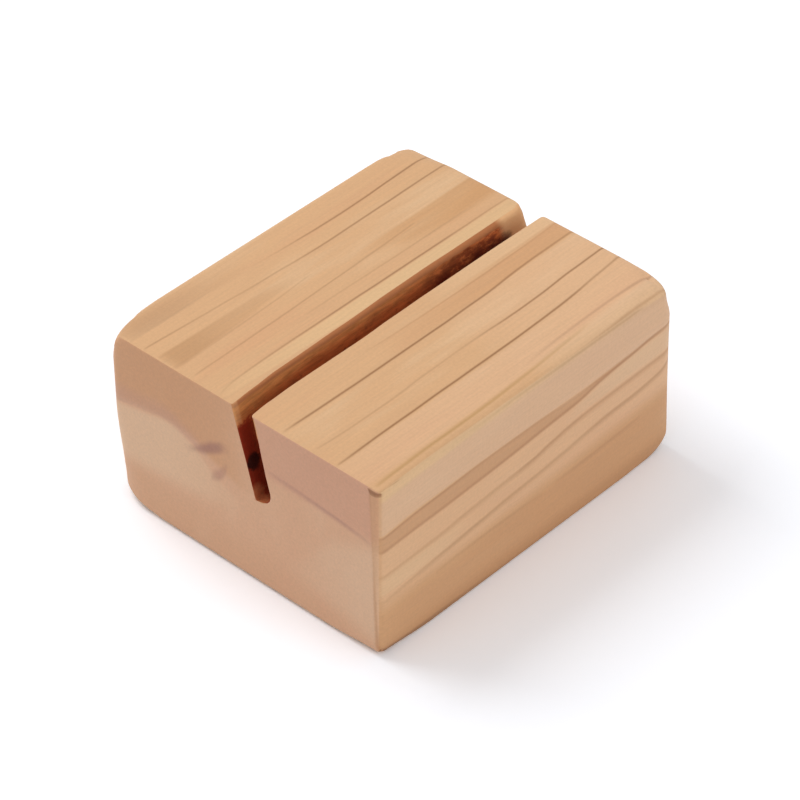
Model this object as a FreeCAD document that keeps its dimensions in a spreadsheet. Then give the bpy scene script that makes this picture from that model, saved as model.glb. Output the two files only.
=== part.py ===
import FreeCAD, Part

import math
import os

import Sketcher
from FreeCAD import Placement, Rotation, Vector

# A desk holder for one print: a block of softwood with one leaning saw cut, the kerf, along its top.
# X runs across the block, Y along the kerf, Z up. The origin is the middle of the foot.
# The front end has least Y. Of its two corners the one on the right is the near one, the crispest.

doc = FreeCAD.newDocument("print_block")
sheet = doc.addObject("Spreadsheet::Sheet", "sizes")

# Driving sizes in millimetres, and one angle in degrees. Corner radii are given at the foot and at
# the top, because each corner is sanded by hand and its round grows or fades on the way up.
driving = [
    ("block_width", 80.0, "across the block, side to side"),
    ("block_length", 95.0, "along the kerf, end to end"),
    ("block_height", 46.0, "foot to top"),
    ("front_left_foot", 8.5, "front left corner at the foot"),
    ("front_left_top", 5.0, "front left corner at the top"),
    ("near_foot", 1.3, "near corner at the foot"),
    ("near_top", 2.6, "near corner at the top"),
    ("far_right_foot", 5.0, "far right corner at the foot"),
    ("far_right_top", 8.0, "far right corner at the top"),
    ("far_left_foot", 4.5, "far left corner at the foot"),
    ("far_left_top", 8.0, "far left corner at the top"),
    ("shoulder_ease", 2.0, "sanded top edge, along the left side, the far end and the right side"),
    ("foot_ease", 1.0, "sanded edge all round the foot"),
    ("sawn_waste", 12.0, "length sawn off the front end, which leaves its top edge crisp"),
    ("kerf_width", 5.0, "gap between the walls, square to them"),
    ("kerf_depth", 23.0, "depth of the saw cut, measured along its lean"),
    ("kerf_lean", 15.0, "degrees that the cut leans from upright"),
    ("mouth_offset", 0.2, "middle of the mouth, to the right of the middle of the block"),
    ("front_left_runout", 1.2, "where the left wall runs out at the front end"),
    ("front_right_runout", 0.5, "where the right wall runs out at the front end"),
    ("far_left_runout", 4.0, "where the left wall runs out at the far end"),
    ("far_right_runout", 1.4, "where the right wall runs out at the far end"),
    ("left_lip_front", 0.5, "left lip of the mouth at the front end"),
    ("left_lip_far", 2.2, "left lip at the far end"),
    ("right_lip_front", 0.3, "right lip at the front end"),
    ("right_lip_far", 0.8, "right lip at the far end"),
    ("overrun", 4.0, "how far a cut starts or ends outside the wood"),
]
for row, (alias, size, note) in enumerate(driving, 1):
    sheet.set("A%d" % row, alias)
    sheet.set("B%d" % row, str(size))
    sheet.set("C%d" % row, note)
    sheet.setAlias("B%d" % row, alias)
doc.recompute()

# Names for the points of a sketch's pieces, which are numbered from 1, and for its origin.
start, end, middle = range(1, 4)
origin = (-1, 1)
turn = ("Vertical", "Horizontal")
tolerance = 1e-4


def value(alias):
    return float(getattr(sheet, alias))


def newSketch(body, name, role, level=None):
    # a sketch on one of the body's own origin planes, or at a level above it
    sketch = body.newObject("Sketcher::SketchObject", name)
    plane = next(item for item in body.Origin.OriginFeatures if item.Role == role)
    sketch.AttachmentSupport = (plane, [""])
    sketch.MapMode = "FlatFace"
    if level:
        sketch.setExpression("AttachmentOffset.Base.z", level)
    return sketch


def tie(sketch, kind, *places):
    sketch.addConstraint(Sketcher.Constraint(kind, *places))


def hold(sketch, expression, kind, *places):
    # a dimension that follows the sheet
    amount = float(sketch.evalExpression(expression))
    index = sketch.addConstraint(Sketcher.Constraint(kind, *places, amount))
    sketch.setExpression("Constraints[%d]" % index, expression)


def holdFromOrigin(sketch, expression, kind, side, *place):
    # the same, measured from the origin towards the side with that sign
    if side > 0:
        hold(sketch, expression, kind, *origin, *place)
    else:
        hold(sketch, expression, kind, *place, *origin)


def line(first, last):
    return Part.LineSegment(Vector(*first, 0), Vector(*last, 0))


def arc(centre, radius, fromDegrees, toDegrees):
    circle = Part.Circle(Vector(*centre, 0), Vector(0, 0, 1), radius)
    return Part.ArcOfCircle(circle, math.radians(fromDegrees), math.radians(toDegrees))


def closeOutline(sketch, pieces):
    # adds the pieces, end to start, as one closed outline
    for piece in pieces:
        sketch.addGeometry(piece)
    for index in range(len(pieces)):
        tie(sketch, "Coincident", index, end, (index + 1) % len(pieces), start)


def rectangle(sketch, left, right, low, high):
    # each side is a distance from the origin and the expression that it follows, outwards
    sides = [-left[0], right[0], -low[0], high[0]]
    corners = [(sides[0], sides[2]), (sides[1], sides[2]), (sides[1], sides[3]), (sides[0], sides[3])]
    closeOutline(sketch, [line(corners[side], corners[(side + 1) % 4]) for side in range(4)])
    for side in range(4):
        tie(sketch, turn[(side + 1) % 2], side)
    holdFromOrigin(sketch, left[1], "DistanceX", -1, 3, start)
    holdFromOrigin(sketch, right[1], "DistanceX", 1, 1, start)
    holdFromOrigin(sketch, low[1], "DistanceY", -1, 0, start)
    holdFromOrigin(sketch, high[1], "DistanceY", 1, 2, start)


def cornerWaste(body, name, across, along, radiusAlias, level=None):
    # what the sander takes off one upright corner, in plan; across and along are its signs in X and Y
    sketch = newSketch(body, name, "XY_Plane", level)
    radius = value(radiusAlias)
    sideX = across * value("block_width") / 2
    endY = along * value("block_length") / 2
    outX = sideX + across * value("overrun")
    outY = endY + along * value("overrun")
    centre = (sideX - across * radius, endY - along * radius)
    onSide, pastSide = (sideX, centre[1]), (outX, centre[1])
    onEnd, pastEnd = (centre[0], endY), (centre[0], outY)
    sideFirst = across * along > 0
    fromDegrees = {(1, 1): 0, (-1, 1): 90, (-1, -1): 180, (1, -1): 270}[across, along]
    path = [onEnd, pastEnd, (outX, outY), pastSide, onSide]
    if not sideFirst:
        path.reverse()
    pieces = [arc(centre, radius, fromDegrees, fromDegrees + 90)]
    pieces += [line(path[step], path[step + 1]) for step in range(4)]
    closeOutline(sketch, pieces)
    for step in range(4):
        tie(sketch, turn[(step + (0 if sideFirst else 1)) % 2], step + 1)
    sidePoint, endPoint = (start, end) if sideFirst else (end, start)
    tie(sketch, "Horizontal", 0, sidePoint, 0, middle)
    tie(sketch, "Vertical", 0, endPoint, 0, middle)
    hold(sketch, "sizes." + radiusAlias, "Radius", 0)
    holdFromOrigin(sketch, "sizes.block_width / 2", "DistanceX", across, 0, sidePoint)
    holdFromOrigin(sketch, "sizes.block_length / 2", "DistanceY", along, 0, endPoint)
    holdFromOrigin(sketch, "sizes.block_width / 2 + sizes.overrun", "DistanceX", across, 2, end)
    holdFromOrigin(sketch, "sizes.block_length / 2 + sizes.overrun", "DistanceY", along, 2, end)
    return sketch


def kerfPlan(body):
    # the cut seen along its lean: two walls, each running out at both ends in an arc
    sketch = newSketch(body, "kerf_plan", "XY_Plane")
    sketch.AttachmentOffset = Placement(Vector(0, 0, 0), Rotation(Vector(0, -1, 0), value("kerf_lean")))
    sketch.setExpression("AttachmentOffset.Rotation.Angle", "sizes.kerf_lean")
    sketch.setExpression(
        "AttachmentOffset.Base.x", "sizes.mouth_offset - sizes.overrun * sin(sizes.kerf_lean)"
    )
    sketch.setExpression(
        "AttachmentOffset.Base.z", "sizes.block_height + sizes.overrun * cos(sizes.kerf_lean)"
    )
    wall = value("kerf_width") / 2
    endY = value("block_length") / 2
    outY = endY + value("overrun")
    # clockwise from the far left: the arc's number in the outline, its signs, its size, its wall point
    runouts = [
        (1, -1, 1, "far_left_runout", start),
        (5, 1, 1, "far_right_runout", end),
        (7, 1, -1, "front_right_runout", start),
        (11, -1, -1, "front_left_runout", end),
    ]
    reach = {(across, along): value(alias) for _, across, along, alias, _ in runouts}
    farLeft, farRight = wall + reach[-1, 1], wall + reach[1, 1]
    frontRight, frontLeft = wall + reach[1, -1], wall + reach[-1, -1]
    arcs = [
        arc((-farLeft, endY - reach[-1, 1]), reach[-1, 1], 0, 90),
        arc((farRight, endY - reach[1, 1]), reach[1, 1], 90, 180),
        arc((frontRight, -endY + reach[1, -1]), reach[1, -1], 180, 270),
        arc((-frontLeft, -endY + reach[-1, -1]), reach[-1, -1], 270, 360),
    ]
    pieces = [
        line((-wall, -endY + reach[-1, -1]), (-wall, endY - reach[-1, 1])),
        arcs[0],
        line((-farLeft, endY), (-farLeft, outY)),
        line((-farLeft, outY), (farRight, outY)),
        line((farRight, outY), (farRight, endY)),
        arcs[1],
        line((wall, endY - reach[1, 1]), (wall, -endY + reach[1, -1])),
        arcs[2],
        line((frontRight, -endY), (frontRight, -outY)),
        line((frontRight, -outY), (-frontLeft, -outY)),
        line((-frontLeft, -outY), (-frontLeft, -endY)),
        arcs[3],
    ]
    closeOutline(sketch, pieces)
    for index in (0, 2, 4, 6, 8, 10):
        tie(sketch, "Vertical", index)
    for index in (3, 9):
        tie(sketch, "Horizontal", index)
    for number, across, along, alias, wallPoint in runouts:
        endPoint = start + end - wallPoint
        tie(sketch, "Horizontal", number, wallPoint, number, middle)
        tie(sketch, "Vertical", number, endPoint, number, middle)
        hold(sketch, "sizes." + alias, "Radius", number)
        holdFromOrigin(sketch, "sizes.block_length / 2", "DistanceY", along, number, endPoint)
    holdFromOrigin(sketch, "sizes.kerf_width / 2", "DistanceX", -1, 0, start)
    holdFromOrigin(sketch, "sizes.kerf_width / 2", "DistanceX", 1, 6, start)
    holdFromOrigin(sketch, "sizes.block_length / 2 + sizes.overrun", "DistanceY", 1, 3, start)
    holdFromOrigin(sketch, "sizes.block_length / 2 + sizes.overrun", "DistanceY", -1, 9, start)
    return sketch


def lipWaste(body, name, side, along, radiusAlias):
    # what eases one lip of the mouth, seen from the front end: an arc that touches the top and the wall
    level = "%d * (sizes.block_length / 2 + sizes.overrun)" % -along
    sketch = newSketch(body, name, "XZ_Plane", level)
    radius = value(radiusAlias)
    lean = math.radians(value("kerf_lean"))
    top = value("block_height")
    half = value("kerf_width") / 2
    centreX = value("mouth_offset") + radius * math.tan(lean) + side * (half + radius) / math.cos(lean)
    centre = (centreX, top - radius)
    onTop = (centreX, top)
    onWall = (centreX - side * radius * math.cos(lean), centre[1] - side * radius * math.sin(lean))
    inKerf = onWall[0] - side * half
    above = top + value("overrun")
    path = [onTop, (centreX, above), (inKerf, above), (inKerf, onWall[1]), onWall]
    leanDegrees = value("kerf_lean")
    if side < 0:
        rounding = arc(centre, radius, leanDegrees, 90)
        topPoint, wallPoint, firstTurn = end, start, 0
    else:
        rounding = arc(centre, radius, 90, 180 + leanDegrees)
        topPoint, wallPoint, firstTurn = start, end, 1
        path.reverse()
    closeOutline(sketch, [rounding] + [line(path[step], path[step + 1]) for step in range(4)])
    for step in range(4):
        tie(sketch, turn[(step + firstTurn) % 2], step + 1)
    tie(sketch, "Vertical", 0, topPoint, 0, middle)
    names = {"r": "sizes." + radiusAlias, "side": side}
    hold(sketch, names["r"], "Radius", 0)
    holdFromOrigin(
        sketch,
        "(sizes.kerf_width / 2 + {r}) / cos(sizes.kerf_lean)"
        " + {side} * (sizes.mouth_offset + {r} * tan(sizes.kerf_lean))".format(**names),
        "DistanceX",
        side,
        0,
        middle,
    )
    holdFromOrigin(sketch, "sizes.block_height - {r}".format(**names), "DistanceY", 1, 0, middle)
    drop = "{r} * sin(sizes.kerf_lean)".format(**names)
    if side < 0:
        hold(sketch, drop, "DistanceY", 0, middle, 0, wallPoint)
        hold(sketch, "sizes.kerf_width / 2", "DistanceX", 0, wallPoint, 3, end)
        hold(sketch, "sizes.overrun", "DistanceY", 0, topPoint, 1, end)
    else:
        hold(sketch, drop, "DistanceY", 0, wallPoint, 0, middle)
        hold(sketch, "sizes.kerf_width / 2", "DistanceX", 1, end, 0, wallPoint)
        hold(sketch, "sizes.overrun", "DistanceY", 0, topPoint, 3, end)
    return sketch


def taperedCut(body, name, first, last):
    cut = body.newObject("PartDesign::SubtractiveLoft", name)
    cut.Profile = first
    cut.Sections = [last]
    cut.Ruled = True
    return cut


def eased(body, name, base, wanted, sizeAlias):
    # a fillet on the edges of the base that the test picks out
    edges = ["Edge%d" % number for number, edge in enumerate(base.Shape.Edges, 1) if wanted(edge)]
    fillet = body.newObject("PartDesign::Fillet", name)
    fillet.Base = (base, edges)
    fillet.setExpression("Radius", "sizes." + sizeAlias)
    return fillet


def check(feature, before=None):
    # a feature can fail, or change nothing, without an error of its own
    doc.recompute()
    shape = feature.Shape
    if "Invalid" in feature.State or "Error" in feature.State or shape.isNull() or not shape.isValid():
        raise RuntimeError(feature.Name + " failed")
    if before and abs(before.Shape.Volume - shape.Volume) < tolerance:
        raise RuntimeError(feature.Name + " changed nothing")
    return feature


def levelWith(edge, height):
    return abs(edge.BoundBox.ZMin - height) < tolerance and abs(edge.BoundBox.ZMax - height) < tolerance


# The blank, longer than the block at its front end.
body = doc.addObject("PartDesign::Body", "wood_block")
body.Label = "wood_block"
halfWidth = (value("block_width") / 2, "sizes.block_width / 2")
blankPlan = newSketch(body, "blank_plan", "XY_Plane")
rectangle(
    blankPlan,
    halfWidth,
    halfWidth,
    (value("block_length") / 2 + value("sawn_waste"), "sizes.block_length / 2 + sizes.sawn_waste"),
    (value("block_length") / 2, "sizes.block_length / 2"),
)
blank = body.newObject("PartDesign::Pad", "blank")
blank.Profile = blankPlan
blank.setExpression("Length", "sizes.block_height")
check(blank)

# Its far corners, rounder at the top than at the foot.
solid = blank
for name, across in (("far_right", 1), ("far_left", -1)):
    atFoot = cornerWaste(body, name + "_foot_waste", across, 1, name + "_foot")
    atTop = cornerWaste(body, name + "_top_waste", across, 1, name + "_top", "sizes.block_height")
    solid = check(taperedCut(body, name + "_corner", atFoot, atTop), solid)

# The soft shoulder, one chain of edges along the left side, round the far end and along the right.
top = value("block_height")
frontEnd = -value("block_length") / 2 - value("sawn_waste")


def onShoulder(edge):
    return levelWith(edge, top) and edge.BoundBox.YMax > frontEnd + tolerance


solid = check(eased(body, "shoulder", solid, onShoulder, "shoulder_ease"), solid)

# The saw takes the waste off the front end.
sawLine = newSketch(body, "saw_line", "XZ_Plane", "sizes.block_length / 2")
pastSide = (halfWidth[0] + value("overrun"), halfWidth[1] + " + sizes.overrun")
rectangle(
    sawLine,
    pastSide,
    pastSide,
    (value("overrun"), "sizes.overrun"),
    (top + value("overrun"), "sizes.block_height + sizes.overrun"),
)
sawnFront = body.newObject("PartDesign::Pocket", "sawn_front")
sawnFront.Profile = sawLine
sawnFront.Reversed = True
sawnFront.setExpression("Length", "sizes.sawn_waste + sizes.overrun")
solid = check(sawnFront, solid)

# The two front corners. The near one fades towards the foot.
for name, across in (("front_left", -1), ("near", 1)):
    atFoot = cornerWaste(body, name + "_foot_waste", across, -1, name + "_foot")
    atTop = cornerWaste(body, name + "_top_waste", across, -1, name + "_top", "sizes.block_height")
    solid = check(taperedCut(body, name + "_corner", atFoot, atTop), solid)

solid = check(eased(body, "foot", solid, lambda edge: levelWith(edge, 0), "foot_ease"), solid)

# The kerf, cut from above the block along its lean.
kerf = body.newObject("PartDesign::Pocket", "kerf")
kerf.Profile = kerfPlan(body)
kerf.setExpression("Length", "sizes.kerf_depth + sizes.overrun")
solid = check(kerf, solid)

# Both lips of the mouth, softer towards the far end.
for name, side in (("left_lip", -1), ("right_lip", 1)):
    atFront = lipWaste(body, name + "_front_waste", side, -1, name + "_front")
    atFar = lipWaste(body, name + "_far_waste", side, 1, name + "_far")
    solid = check(taperedCut(body, name, atFront, atFar), solid)

failed = [item.Name for item in doc.Objects if "Invalid" in item.State or "Error" in item.State]
if failed or body.Shape.isNull() or not body.Shape.isValid() or len(body.Shape.Solids) != 1:
    raise RuntimeError("not one sound solid: " + ", ".join(failed))

os.makedirs("parts", exist_ok=True)
body.Shape.exportStep("parts/%s.step" % body.Label)
print(body.Label, "volume", round(body.Shape.Volume), "mm3")
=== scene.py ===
import math

import bpy
import numpy as np
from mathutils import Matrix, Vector, noise


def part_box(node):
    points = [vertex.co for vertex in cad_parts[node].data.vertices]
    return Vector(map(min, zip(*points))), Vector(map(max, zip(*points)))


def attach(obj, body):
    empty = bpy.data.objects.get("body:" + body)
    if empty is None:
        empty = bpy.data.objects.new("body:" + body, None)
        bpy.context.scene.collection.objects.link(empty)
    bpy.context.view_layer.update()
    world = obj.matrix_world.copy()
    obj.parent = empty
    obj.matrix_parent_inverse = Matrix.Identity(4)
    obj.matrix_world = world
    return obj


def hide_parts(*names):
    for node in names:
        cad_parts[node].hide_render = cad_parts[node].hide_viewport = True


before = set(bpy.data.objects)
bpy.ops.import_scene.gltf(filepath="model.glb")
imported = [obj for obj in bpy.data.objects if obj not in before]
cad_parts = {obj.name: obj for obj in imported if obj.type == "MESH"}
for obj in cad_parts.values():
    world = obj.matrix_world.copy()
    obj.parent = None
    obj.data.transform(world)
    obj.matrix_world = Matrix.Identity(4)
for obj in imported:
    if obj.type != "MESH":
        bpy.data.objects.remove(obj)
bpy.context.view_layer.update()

# A block of softwood that holds a print in a leaning saw kerf. All shapes below are in millimetres.
# X runs across the block, Y along the kerf from the front end to the far end, Z up from the foot.
metre = 1000.0
nodeLow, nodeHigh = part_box("wood_block")
halfWidth = (nodeHigh.x - nodeLow.x) * metre / 2
halfLength = (nodeHigh.y - nodeLow.y) * metre / 2
height = (nodeHigh.z - nodeLow.z) * metre
halves = np.array([halfWidth, halfLength, height / 2])

# The block's sanded form. A corner is named by its signs in X, Y and Z, and an edge has 0 for the
# axis that it runs along. Corners hold the three radii along X, Y and Z, edges one radius halfway.
sandedForm = {
    "corners": {
        (-1, -1, -1): (10.6, 6.1, 2.7),  # front left foot
        (-1, -1, 1): (1.9, 10.6, 7.0),  # front left top
        (1, -1, -1): (1.6, 2.4, 3.6),  # near foot, the tip towards the viewer
        (1, -1, 1): (0.6, 0.6, 0.4),  # near top
        (-1, 1, -1): (5.0, 5.0, 1.5),  # far left foot
        (-1, 1, 1): (3.0, 10.9, 2.8),  # far left top
        (1, 1, -1): (0.5, 8.1, 4.5),  # far right foot
        (1, 1, 1): (11.8, 4.9, 2.2),  # far right top
    },
    "edges": {
        (-1, 0, 1): 2.6,  # left shoulder
        (1, 0, 1): 2.1,  # right shoulder
        (-1, 0, -1): 0.9,
        (1, 0, -1): 0.6,
        (0, -1, 1): 0.3,  # the crisp sawn edge
        (0, 1, 1): 2.5,
        (0, -1, -1): 1.5,
        (0, 1, -1): 0.9,
        (-1, -1, 0): 5.0,
        (1, -1, 0): 1.2,  # near upright edge
        (-1, 1, 0): 5.0,
        (1, 1, 0): 2.9,
    },
    # upright edges whose plan changes steadily up the block, and then quickly at the foot and the top
    "uprights": {
        (1, 1): {
            "foot": (0.5, 6.0), "low": (0.5, 6.0), "high": (3.0, 3.6), "top": (10.4, 4.7),
            "footReach": 6.0, "topReach": 9.0,
        },
        (-1, -1): {
            "foot": (10.6, 6.1), "low": (4.6, 4.6), "high": (4.0, 4.0), "top": (3.0, 12.0),
            "footReach": 26.0, "topReach": 8.0,
        },
        (1, -1): {  # a splinter has come off just under the top
            "foot": (1.6, 2.4), "low": (1.6, 2.4), "high": (1.8, 2.1), "top": (0.6, 0.6),
            "footReach": 6.0, "topReach": 1.6,
        },
    },
    "cornerReach": 16.0,  # how far a corner's rounding reaches along its edges
    "sawnEdgeReach": 6.0,  # the same along the crisp edge
    "handWave": 0.07,  # depth of the shallow waves that hand sanding leaves
    "handWaveSize": (17.0, 27.2, 17.0),
    "flatFoot": 1.5,  # waves and tears fade out over this height, so that the foot stays flat
}

kerf = {
    "middle": 0.2,  # middle of the mouth
    "width": 5.0,
    "depth": 23.0,
    "lean": math.radians(15),
    "leftFloorRound": ((-47.5, 0.6), (47.5, 0.6)),
    "rightFloorRound": ((-47.5, 2.8), (-38, 1.6), (47.5, 1.2)),
    "leftLip": ((-47.5, 0.4), (-30, 0.75), (-13, 1.0), (7, 1.15), (27, 1.3), (47.5, 1.4)),
    "rightLip": ((-47.5, 0.3), (47.5, 0.5)),
    # how far each wall wanders to the right of its line, because the cut was fed by hand
    "leftWander": (
        (-47.5, 0.95), (-41, 0.55), (-33, 0.15), (-12, 0.0), (4, -0.35), (14, -0.45), (24, -0.3), (47.5, -0.3),
    ),
    "rightWander": (
        (-47.5, 0.8), (-42, 0.35), (-34, 0.08), (-14, 0.1), (-3, -0.25), (8, -0.45), (30, -0.6), (47.5, -0.5),
    ),
    # radius of the run-outs at the front end, -1, and at the far end, 1, at the mouth and lower down
    "runouts": {
        ("left", -1): (0.45, 0.15), ("right", -1): (0.9, 0.3),
        ("left", 1): (4.2, 1.2), ("right", 1): (1.2, 0.5),
    },
    "runoutDepth": 0.7,  # share of the depth at which a run-out has its lower radius
    "lipBlend": 2.0,  # below the lip the wall turns into its own line over this depth
    "tear": 0.16,  # how deep the saw tore the walls
    "tearSizes": (((1.6, 5.0, 2.2), 0.6), ((0.9, 1.7, 0.8), 0.4)),  # each with its share of the depth
}

# Spacing of the mesh: fine beside an edge, then even.
fineSteps = (0, 0.1, 0.22, 0.38, 0.6, 0.9, 1.3, 1.8, 2.4, 3.2, 4.2, 5.4, 6.8)
endSteps = (0, 0.05, 0.12, 0.22, 0.38, 0.6, 0.9, 1.3, 1.8, 2.4, 3.2, 4.2, 5.4, 6.8, 8.4, 10.2)
lipSteps = (0, 0.15, 0.35, 0.7)  # on the top, back from a lip
wallSteps = (0, 0.2, 0.5, 0.9)  # down the wall from a lip
counts = {"top": 76, "lip": 8, "wall": 34, "floorCorner": 4, "floor": 5, "lowerSide": 40, "length": 52}
layout = {
    "topLength": 37.0,  # about what the top measures on either side of the mouth
    "split": 23.2,  # height on the sides that the mesh joins to the kerf's floor
    "underFloor": (4.0, 9.0),  # the part of the foot below that floor
}


def ease(x):
    x = np.clip(x, 0.0, 1.0)
    return x * x * (3.0 - 2.0 * x)


def follow(keys, at):
    # a smooth curve through a few keys, flat at each key
    keys = list(keys)
    out = np.full(np.shape(at), float(keys[0][1]))
    for (first, low), (last, high) in zip(keys[:-1], keys[1:]):
        out = np.where(at >= first, low + (high - low) * ease((at - first) / (last - first)), out)
    return out


def ruler(length, count, fineStart=(0,), fineEnd=(0,)):
    # places from 0 to length, count steps, with the given fine steps at either end
    start = list(fineStart)
    end = [length - step for step in reversed(fineEnd)]
    spare = count - (len(start) - 1) - (len(end) - 1)
    between = np.linspace(start[-1], end[0], spare + 1)
    return np.array(start[:-1] + list(between) + end[1:])


topShares = ruler(layout["topLength"], counts["top"], fineSteps, lipSteps) / layout["topLength"]


def atStation(flat, y):
    # points in X and Z, put at one place along the kerf
    return np.column_stack([flat[:, 0], np.full(len(flat), y), flat[:, 1]])


def wallLine(z, offset):
    # X of a line that leans with the kerf, at a height and a distance square to its middle plane
    return kerf["middle"] + (offset + (height - z) * math.sin(kerf["lean"])) / math.cos(kerf["lean"])


def wallOffset(side, depth, y):
    # how far a wall stands from the kerf's middle plane, with its run-outs at the ends and its wander
    total = np.full(np.shape(depth), kerf["width"] / 2)
    narrowing = 1.0 - np.asarray(depth) / (kerf["runoutDepth"] * kerf["depth"])
    for end in (-1, 1):
        atMouth, lower = kerf["runouts"][side, end]
        radius = lower + (atMouth - lower) * ease(narrowing)
        into = np.clip(1.0 - (halfLength - end * y) / radius, 0.0, 1.0)
        total = total + radius * (1.0 - np.sqrt(1.0 - into * into))
    sign = -1 if side == "left" else 1
    return sign * total + follow(kerf[side + "Wander"], y) * math.cos(kerf["lean"])


def kerfSide(side, y):
    # from the lip's start on the top, over the lip and down the wall to the floor, seen from the front
    sign = -1 if side == "left" else 1
    lean = kerf["lean"]
    lipRound = float(follow(kerf[side + "Lip"], y))
    atMouth = float(wallOffset(side, 0.0, y))
    lipCentreZ = height - lipRound
    lipCentreX = wallLine(lipCentreZ, atMouth + sign * lipRound)
    angles = np.linspace(math.pi / 2, lean if side == "left" else math.pi + lean, counts["lip"] + 1)
    lip = np.stack([lipCentreX + lipRound * np.cos(angles), lipCentreZ + lipRound * np.sin(angles)], 1)
    wallStart = (height - lip[-1, 1]) / math.cos(lean)
    floorRound = float(follow(kerf[side + "FloorRound"], y))
    depths = ruler(kerf["depth"] - floorRound - wallStart, counts["wall"], wallSteps) + wallStart
    blend = ease((depths - wallStart) / kerf["lipBlend"])
    offsets = atMouth * (1 - blend) + wallOffset(side, depths, y) * blend
    # the floor is square to the walls, so its right side lies higher than its left
    z = height - depths * math.cos(lean) + offsets * math.sin(lean) * ease(depths / kerf["depth"])
    wall = np.stack([wallLine(z, offsets), z], 1)
    wall[0] = lip[-1]
    # the floor's corner, from the wall round to the floor
    down = np.array([math.sin(lean), -math.cos(lean)])
    inward = np.array([-sign * math.cos(lean), -sign * math.sin(lean)])
    centre = wall[-1] + inward * floorRound
    turn = np.linspace(0, math.pi / 2, counts["floorCorner"] + 1)[:, None]
    corner = centre - inward * floorRound * np.cos(turn) + down * floorRound * np.sin(turn)
    return np.concatenate([lip, wall[1:], corner[1:]])


def level(x, z):
    # points in X and Z, where either may be one number for all
    return np.stack(np.broadcast_arrays(x, z), 1)


def section(y):
    # the block's outline at one place along the kerf, still with square outer corners
    left, right = kerfSide("left", y), kerfSide("right", y)
    split = layout["split"]
    upper = height - ruler(height - split, len(left) - 1, fineSteps)
    lower = split - ruler(split, counts["lowerSide"], (0,), fineSteps)
    fromLeft, fromRight = topShares, 1 - topShares[::-1]
    topLeft = -halfWidth + (left[0, 0] + halfWidth) * fromLeft
    topRight = right[0, 0] + (halfWidth - right[0, 0]) * fromRight
    across = np.linspace(0, 1, counts["floor"] + 1)
    floor = left[-1] * (1 - across[:, None]) + right[-1] * across[:, None]
    footStart, footEnd = layout["underFloor"]
    footMiddle = np.linspace(footStart, footEnd, len(across))[1:-1]
    footLeft = -halfWidth + (footStart + halfWidth) * fromLeft
    footRight = footEnd + (halfWidth - footEnd) * fromRight
    foot = np.concatenate([footLeft, footMiddle, footRight])
    return {
        "topLeft": level(topLeft, height),
        "left": left,
        "floor": floor,
        "right": right[::-1],
        "topRight": level(topRight, height),
        "upperRight": level(halfWidth, upper),
        "lowerRight": level(halfWidth, lower),
        "foot": level(foot[::-1], 0.0),
        "lowerLeft": level(-halfWidth, lower[::-1]),
        "upperLeft": level(-halfWidth, upper[::-1]),
    }


def spacing(*edges):
    # shares from 0 to 1 for the points of opposite edges: the mean of even steps and of each edge's own
    total = np.linspace(0, 1, len(edges[0]))
    for edge in edges:
        reach = np.concatenate([[0], np.cumsum(np.linalg.norm(np.diff(edge, axis=0), axis=1))])
        total = total + reach / reach[-1]
    return total / total[-1]


def patch(top, bottom, left, right):
    # fills a four-sided area between its edges; rows go down, columns go right
    u = spacing(top, bottom)[None, :, None]
    v = spacing(left, right)[:, None, None]
    sides = (1 - v) * top[None] + v * bottom[None] + (1 - u) * left[:, None] + u * right[:, None]
    above = (1 - u) * top[0] + u * top[-1]
    below = (1 - u) * bottom[0] + u * bottom[-1]
    return sides - (1 - v) * above - v * below


def roundEdge(points, edge):
    # turns one square edge of the block into a round one, smoothly through the wood
    run = edge.index(0)
    first, second = [axis for axis in range(3) if axis != run]
    reach = sandedForm["sawnEdgeReach"] if edge == (0, -1, 1) else sandedForm["cornerReach"]
    own = sandedForm["edges"][edge]
    upright = sandedForm["uprights"].get(edge[:2]) if run == 2 else None
    radii = {}
    for axis in (first, second):
        radius = np.full(len(points), own)
        for end in (-1, 1):
            corner = tuple(end if sign == 0 else sign for sign in edge)
            near = ease(1.0 - (halves[run] - end * points[:, run]) / reach)
            radius = radius + (sandedForm["corners"][corner][axis] - own) * near
        if upright:
            foot, low, high, top = (upright[name][axis] for name in ("foot", "low", "high", "top"))
            up = halves[2] + points[:, 2]
            radius = low + (high - low) * up / height
            radius = radius + (foot - low) * ease(1.0 - up / upright["footReach"])
            radius = radius + (top - high) * ease(1.0 - (height - up) / upright["topReach"])
        radii[axis] = radius
    shares = {}
    for axis in (first, second):
        centre = halves[axis] - radii[axis]
        shares[axis] = (points[:, axis] * edge[axis] - centre) / radii[axis]
    inside = (shares[first] > 0) & (shares[second] > 0)
    most = np.maximum(shares[first], shares[second])
    scale = np.where(inside, most / np.maximum(np.hypot(shares[first], shares[second]), 1e-9), 1.0)
    for axis in (first, second):
        moved = edge[axis] * (halves[axis] - radii[axis] + shares[axis] * scale * radii[axis])
        points[inside, axis] = moved[inside]


def wave(places, length, seed):
    # smooth noise from -1 to 1 with waves of a length in X, Y and Z; each seed gives other waves
    shift = Vector((7.3, 3.1, 5.7)) * seed
    return np.array([noise.noise(Vector(p) + shift) for p in places / np.array(length)])


def fillArea(points, rims, y):
    # the inner points and the faces of a four-sided area on an end, inside its top, bottom, left and right rim
    grid = patch(*[points[rim][:, [0, 2]] for rim in rims])
    inner = grid[1:-1, 1:-1].reshape(-1, 2)
    ids = np.zeros(grid.shape[:2], int)
    ids[0], ids[-1], ids[:, 0], ids[:, -1] = rims
    ids[1:-1, 1:-1] = len(points) + np.arange(len(inner)).reshape(ids[1:-1, 1:-1].shape)
    corners = (ids[:-1, :-1], ids[1:, :-1], ids[1:, 1:], ids[:-1, 1:])
    faces = np.stack([corner.ravel() for corner in corners], 1)
    return atStation(inner, y), faces


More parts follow.
